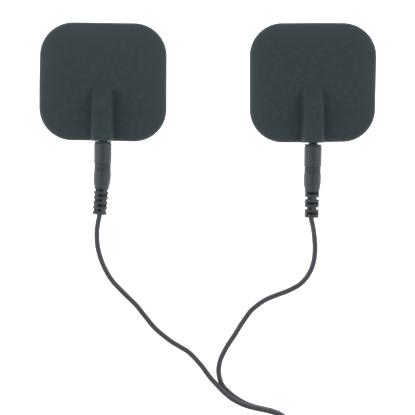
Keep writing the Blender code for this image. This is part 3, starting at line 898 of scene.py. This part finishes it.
def bent(mesh, bend):
    """The mesh, with its cross-sections carried along a bent plug's axis."""
    for vertex in mesh.vertices:
        x, y = vertex.co.x, vertex.co.y
        reach = min(max(-y - BEND_START, 0.0), PLUG_LENGTH - BEND_START)
        angle = math.atan(bend * reach)
        vertex.co.x = x * math.cos(angle) - aside(-y, bend)
        vertex.co.y = y - x * math.sin(angle)
    return mesh


def relief_place(side):
    """The strain relief's axis, its origin at the plug's rear face."""
    bend = PLUG_BEND[side]
    turn = Matrix.Rotation(-math.atan(bend * (PLUG_LENGTH - BEND_START)), 4, "Z")
    back = PLUG_LENGTH + 0.02 * MM
    return plug_place(side) @ Matrix.Translation((-aside(back, bend), -back, 0.0)) @ turn


def slot_webs(core, reach, turn):
    """Boxes that bridge each slot on two sides, each pair a quarter turn from the last."""
    boxes = []
    for i in range(SLOT_COUNT):
        high = -SLOT_START - i * SLOT_PITCH + 0.2 * MM
        low = high - SLOT_WIDTH - 0.4 * MM
        for sign in (-1, 1):
            near, out = sorted((sign * (core - 0.3 * MM), sign * reach))
            if i % 2 == 0:
                boxes.append(((near, low, -SLOT_WEB), (out, high, SLOT_WEB)))
            else:
                boxes.append(((-SLOT_WEB, low, near), (SLOT_WEB, high, out)))
    return boxes_mesh("webs", boxes, turn)


def in_slot(y):
    """Whether this distance behind a strain relief's front lies in one of its slots."""
    margin = 0.06 * MM
    starts = [-SLOT_START - i * SLOT_PITCH for i in range(SLOT_COUNT)]
    return any(start - SLOT_WIDTH - margin <= y <= start + margin for start in starts)


def relief_mesh(wide, bore, turn):
    """A slotted strain relief: round-edged rings on a core, joined by webs. Its front is at y = 0."""
    front, back = 2.75 * MM + wide, 2.65 * MM + wide
    core = SLOT_CORE + wide
    edge = 0.27 * MM
    outside = [(bore, 0.0, 0.0), (front, 0.0, 0.05 * MM), (front, -SLOT_START, 0.05 * MM)]
    for i in range(SLOT_COUNT):
        high = -SLOT_START - i * SLOT_PITCH
        low = high - SLOT_WIDTH
        radius = front + (back - front) * (i + 1) / SLOT_COUNT
        outside += [(core, high, 0.12 * MM), (core, low, 0.12 * MM), (radius, low, edge)]
        if i < SLOT_COUNT - 1:
            outside.append((radius, low - SLOT_PITCH + SLOT_WIDTH, edge))
    outside += [(back, -RELIEF_LENGTH, edge), (bore, -RELIEF_LENGTH, 0.0)]
    solid = lathe("relief", eased(outside), closed=True)
    webs = slot_webs(core, back - 0.12 * MM, math.radians(turn))
    made = combine(solid, [("UNION", webs)])
    # Painted shade: how far each point lies down in a slot or in under the rings, which darkens its
    # colour.
    depths = []
    for vertex in made.vertices:
        inward = front - 0.3 * MM - math.hypot(vertex.co.x, vertex.co.z)
        under = -0.3 * MM - vertex.co.z if in_slot(vertex.co.y) else 0.0
        depths.append(min(1.0, max(0.0, inward, under) / (0.5 * MM)))
    made.attributes.new("slot_shade_depth", "FLOAT", "POINT").data.foreach_set("value", depths)
    return made


def pin_mesh():
    """The plated pin, the flange that the moulding grips, and its crimp barrel."""
    profile = eased([
        (0.0, 12.6 * MM, 0.0),
        (0.75 * MM, 12.45 * MM, 0.3 * MM),
        (1.0 * MM, 11.6 * MM, 0.3 * MM),
        (1.0 * MM, -2.5 * MM, 0.0),
        (1.6 * MM, -2.5 * MM, 0.1 * MM),
        (1.6 * MM, -4.0 * MM, 0.1 * MM),
        (1.3 * MM, -4.0 * MM, 0.0),
        (1.3 * MM, -10.0 * MM, 0.1 * MM),
        (0.8 * MM, -10.0 * MM, 0.1 * MM),
        (0.8 * MM, -6.5 * MM, 0.0),
        (0.0, -6.5 * MM, 0.0),
    ])
    return lathe("pin", profile)


def collar_mesh():
    inner, outer = 1.1 * MM, 1.725 * MM
    profile = eased([
        (inner, -0.3 * MM, 0.0),
        (inner, 1.0 * MM, 0.12 * MM),
        (outer, 1.0 * MM, 0.15 * MM),
        (outer, -1.2 * MM, 0.12 * MM),
        (inner, -1.2 * MM, 0.12 * MM),
    ])
    return lathe("collar", profile, closed=True)


def make_plug(side):
    place = plug_place(side)
    relief = relief_mesh(0.0, 0.95 * MM, RELIEF_TURN[side])
    body = bent(plug_mesh(), PLUG_BEND[side])
    parts = [
        ("plug_body", "plug_moulding", body, place, "lead_set", "moulded_pvc"),
        ("strain_relief", "boot", relief, relief_place(side), "lead_set", "soft_pvc"),
        ("contact_pin", "pin", pin_mesh(), place, "lead_set", "plated_brass"),
        ("pin_collar", "collar", collar_mesh(), place, side + "_collar", "black_plastic"),
    ]
    for node, name, mesh, where, body, slot in parts:
        put(f"{side}_{name}", mesh, where, body, slot, f"{side}_{node}")


# ---------------------------------------------------------------- leads
def round_section(radius):
    sides = 20
    angles = [2 * math.pi * i / sides for i in range(sides)]
    return [(radius * math.cos(a), radius * math.sin(a)) for a in angles]


def twin_section(distance):
    """Two round cores and the web between them. The pair stands up on its edge past the fork."""
    upright, lean_length = 90.0, 16.0 * MM
    part = min(1.0, distance / lean_length)
    lean = math.radians(FORK_LEAN + (upright - FORK_LEAN) * part * part * (3 - 2 * part))
    open_angle = math.pi - math.asin(WEB_HALF / LEAD_RADIUS)
    steps = 14
    lobe = []
    for i in range(steps + 1):
        angle = -open_angle + 2 * open_angle * i / steps
        lobe.append((CORE_OFFSET + LEAD_RADIUS * math.cos(angle), LEAD_RADIUS * math.sin(angle)))
    outline = lobe + [(-x, -y) for x, y in lobe]
    cos, sin = math.cos(lean), math.sin(lean)
    return [(x * cos - y * sin, x * sin + y * cos) for x, y in outline]


def tie_lift(angle):
    """How far the turns ride up where they cross the tie."""
    away = abs((angle - TIE_ANGLE + math.pi) % (2 * math.pi) - math.pi)
    full, none = math.radians(9), math.radians(38)
    part = min(1.0, max(0.0, (none - away) / (none - full)))
    return TIE_LIFT * part * part * (3 - 2 * part)


def coil_points():
    """The centreline of the coil: in on the bottom layer, out again on the one above."""
    per_turn = 24
    low = TWIN_WIDTH / 2
    inner = COIL_OUTER - COIL_TURNS * COIL_PITCH
    climb_turn = 0.25
    total = COIL_TURNS + climb_turn + COIL_TURNS
    points = []
    for i in range(1, round(total * per_turn) + 1):
        turned = i / per_turn
        angle = -2 * math.pi * turned
        if turned <= COIL_TURNS:
            radius, height = COIL_OUTER - COIL_PITCH * turned, low
        elif turned <= COIL_TURNS + climb_turn:
            part = (turned - COIL_TURNS) / climb_turn
            radius = inner - 0.2 * MM * math.sin(math.pi * part)
            height = low + TWIN_WIDTH * part * part * (3 - 2 * part)
        else:
            radius = inner + COIL_PITCH * (turned - COIL_TURNS - climb_turn)
            height = low + TWIN_WIDTH
        oval = 1 + 0.008 * math.cos(2 * angle + 0.6)
        offset = Vector((math.cos(angle), math.sin(angle), 0.0)) * radius * oval
        points.append(COIL_CENTRE + offset + Vector((0, 0, height + tie_lift(angle))))
    return points


def in_metres(route):
    return [Vector(point) * MM for point in route]


def core_start(sign):
    """Where one of the twin lead's cores begins: +1 is the upper one."""
    start, after = in_metres(TWIN_ROUTE[:2])
    along = (after - start).normalized()
    right = along.cross(Vector((0, 0, 1)))
    lean = math.radians(FORK_LEAN)
    offset = (right * math.cos(lean) + Vector((0, 0, math.sin(lean)))) * CORE_OFFSET * sign
    return start + offset, along


def make_single_lead(side, route, sign):
    """A single lead, from inside its strain relief to inside the twin lead's end."""
    start, along = core_start(sign)
    relief_back = relief_place(side) @ Vector((0.0, 1.0 * MM - RELIEF_LENGTH, 0.0))
    points = [relief_back, *in_metres(route[:-1]), start, start + along * 0.5 * MM]
    path = smooth_route(points, 0.6 * MM)
    mesh = sweep("lead", path, lambda distance: round_section(LEAD_RADIUS * 0.995))
    name = side + "_lead"
    lead = put(name + "_sleeve", mesh, Matrix.Identity(4), "lead_set", "lead_pvc", name)


def make_twin_lead(pieces):
    route = in_metres(TWIN_ROUTE) + coil_points() + in_metres(TAIL_ROUTE)
    jack = jack_place()
    route.append(jack @ Vector((0.0, -JACK_HANDLE_LENGTH - RELIEF_LENGTH + 1.0 * MM, 0.0)))
    path = smooth_route(route, 0.9 * MM)
    mesh = sweep("twin", path, twin_section)
    twin = put(
        "twin_lead_sleeve", mesh, Matrix.Identity(4), "lead_set", "lead_pvc",
        "twin_lead", "lead_coil", "lead_tail",
    )


# ---------------------------------------------------------------- tie and jack plug
def jack_place():
    """The jack's axis, its origin at the front of the handle and +Y the way the jack points."""
    turn = Matrix.Rotation(math.radians(JACK_TURN), 4, "Z")
    total = JACK_HANDLE_LENGTH + GAP + RELIEF_LENGTH
    return Matrix.Translation(JACK_BACK) @ turn @ Matrix.Translation((0.0, total, 0.0))


def make_tie():
    """A flat strap round the bundle, with rounded edges and a raised wire along its middle."""
    corners = [
        (TIE_OUTER - TIE_BEND, TIE_HIGH - TIE_BEND),
        (TIE_INNER + TIE_BEND, TIE_HIGH - TIE_BEND),
        (TIE_INNER + TIE_BEND, TIE_LOW + TIE_BEND),
        (TIE_OUTER - TIE_BEND, TIE_LOW + TIE_BEND),
    ]
    reach = TIE_BEND + TIE_THICKNESS / 2
    middle = []
    for quarter, (x, z) in enumerate(corners):
        for k in range(7):
            angle = (quarter + k / 6) * math.pi / 2
            middle.append((x + reach * math.cos(angle), z + reach * math.sin(angle), angle))
    # The strap's outline in millimetres: across it, and out from the middle of its thickness.
    section = [(-2.0, 0.1), (-1.9, 0.2), (-0.45, 0.2), (-0.25, 0.32), (0.25, 0.32), (0.45, 0.2),
               (1.9, 0.2), (2.0, 0.1), (2.0, -0.15), (1.9, -0.25), (-1.9, -0.25), (-2.0, -0.15)]
    points, faces = [], []
    for x, z, angle in middle:
        for across, out in section:
            lift = out * MM
            points.append((x + lift * math.cos(angle), across * MM, z + lift * math.sin(angle)))
    count, total = len(section), len(middle)
    for i in range(total):
        j = (i + 1) % total
        for k in range(count):
            m = (k + 1) % count
            faces.append((i * count + k, i * count + m, j * count + m, j * count + k))
    mesh = mesh_from("tie", points, faces, 50.0)
    place = Matrix.Translation(COIL_CENTRE) @ Matrix.Rotation(TIE_ANGLE, 4, "Z")
    return put("coil_tie_strap", mesh, place, "lead_set", "tie_plastic", "coil_tie")


def handle_mesh():
    outside = [
        (1.35 * MM, 0.0, 0.0),
        (3.0 * MM, 0.0, 0.25 * MM),
        (3.45 * MM, -0.7 * MM, 0.35 * MM),
        (3.5 * MM, -3.5 * MM, 0.1 * MM),
    ]
    for k in range(6):
        outside += groove(3.5 * MM, (-4.6 - 1.1 * k) * MM, 0.55 * MM, 0.16 * MM)
    outside += [
        (3.5 * MM, -11.6 * MM, 0.2 * MM),
        (3.48 * MM, -16.0 * MM, 0.8 * MM),
        (3.2 * MM, -18.2 * MM, 0.6 * MM),
        (2.95 * MM, -JACK_HANDLE_LENGTH, 0.1 * MM),
        (2.2 * MM, -JACK_HANDLE_LENGTH, 0.0),
        (2.5 * MM, -18.0 * MM, 0.0),
        (2.5 * MM, -0.9 * MM, 0.0),
        (1.35 * MM, -0.9 * MM, 0.0),
    ]
    return lathe("handle", eased(outside), closed=True)


def sleeve_mesh():
    profile = eased([
        (0.95 * MM, 3.0 * MM, 0.0),
        (0.95 * MM, 6.3 * MM, 0.0),
        (JACK_RADIUS, 6.3 * MM, 0.08 * MM),
        (JACK_RADIUS, -1.2 * MM, 0.0),
        (2.2 * MM, -1.2 * MM, 0.1 * MM),
        (2.2 * MM, -3.0 * MM, 0.1 * MM),
        (0.95 * MM, -3.0 * MM, 0.0),
    ])
    return lathe("sleeve", profile, closed=True)


def insulator_mesh():
    profile = eased([
        (0.5 * MM, 7.0 * MM, 0.0),
        (1.2 * MM, 7.0 * MM, 0.05 * MM),
        (1.2 * MM, 6.4 * MM, 0.05 * MM),
        (0.85 * MM, 6.4 * MM, 0.0),
        (0.85 * MM, -3.5 * MM, 0.05 * MM),
        (0.5 * MM, -3.5 * MM, 0.0),
    ])
    return lathe("insulator", profile, closed=True)


def tip_mesh():
    profile = eased([
        (0.0, JACK_LENGTH, 0.0),
        (0.75 * MM, JACK_LENGTH - 0.1 * MM, 0.35 * MM),
        (1.12 * MM, JACK_LENGTH - 1.1 * MM, 0.35 * MM),
        (0.8 * MM, JACK_LENGTH - 1.95 * MM, 0.3 * MM),
        (JACK_RADIUS, JACK_LENGTH - 3.6 * MM, 0.4 * MM),
        (JACK_RADIUS, 7.1 * MM, 0.08 * MM),
        (0.4 * MM, 7.1 * MM, 0.0),
        (0.4 * MM, -7.5 * MM, 0.1 * MM),
        (0.0, -7.5 * MM, 0.0),
    ])
    return lathe("tip", profile)


def make_jack():
    place = jack_place()
    behind = place @ Matrix.Translation((0.0, -JACK_HANDLE_LENGTH - 0.02 * MM, 0.0))
    relief = relief_mesh(0.3 * MM, 1.3 * MM, 0.0)
    parts = [
        ("jack_handle", "jack_handle_moulding", handle_mesh(), place, "moulded_pvc"),
        ("jack_strain_relief", "jack_boot", relief, behind, "soft_pvc"),
        ("jack_sleeve", "jack_sleeve_contact", sleeve_mesh(), place, "plated_brass"),
        ("jack_insulator", "jack_insulator_ring", insulator_mesh(), place, "black_plastic"),
        ("jack_tip", "jack_tip_contact", tip_mesh(), place, "plated_brass"),
    ]
    return [put(name, mesh, where, "lead_set", slot, node) for node, name, mesh, where, slot in parts]


# ---------------------------------------------------------------- the whole set
make_camera()
make_studio()
for side in ("left", "right"):
    make_electrode(side)
    make_plug(side)
make_single_lead("left", LEFT_ROUTE, 1)
make_single_lead("right", RIGHT_ROUTE, -1)
make_twin_lead([make_tie(), *make_jack()])
for name in ("left_wire_core", "right_wire_core", "jack_tip_core", "jack_sleeve_core"):
    core = frame["nodes"][name]
    core.data.materials.clear()
    core.data.materials.append(MATERIALS["copper"])
